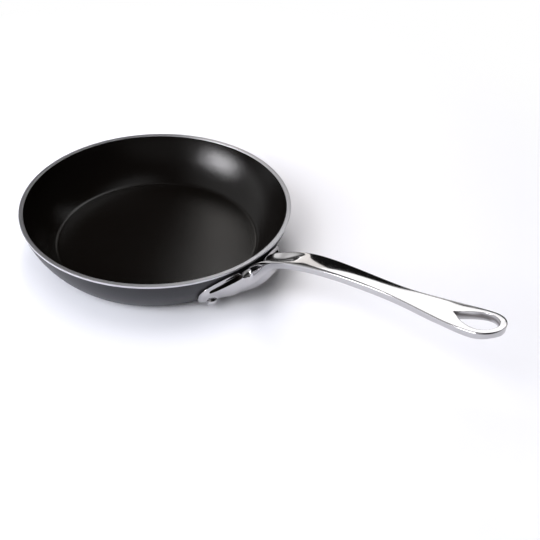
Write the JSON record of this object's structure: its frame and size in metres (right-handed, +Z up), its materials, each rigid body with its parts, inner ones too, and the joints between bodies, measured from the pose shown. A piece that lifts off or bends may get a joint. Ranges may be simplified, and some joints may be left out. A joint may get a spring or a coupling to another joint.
{
  "type": "non-stick frying pan",
  "caption": "Shallow round frying pan with flared walls, a black non-stick inside, a bare metal rim and a long riveted steel handle that ends in a hanging loop.",
  "frame": {"origin": "centre of the flat base, on the surface that the pan stands on", "axes": "+X along the handle, away from the pan; +Z up, out of the open pan; +Y completes a right-handed frame"},
  "size_m": [0.4669, 0.2398, 0.1132],
  "materials": {
    "anodised_body": "hard-anodised, dark satin, with a bare machined rim",
    "nonstick_lining": "black non-stick film with a fine grain",
    "polished_handle": "cast stainless steel, polished",
    "steel_rivet": "stainless steel, polished"
  },
  "bodies": {
    "root": {"pan_body": "anodised_body", "nonstick_lining": "nonstick_lining", "handle": "polished_handle", "rivet_left": "steel_rivet", "rivet_right": "steel_rivet"}
  },
  "joints": []
}
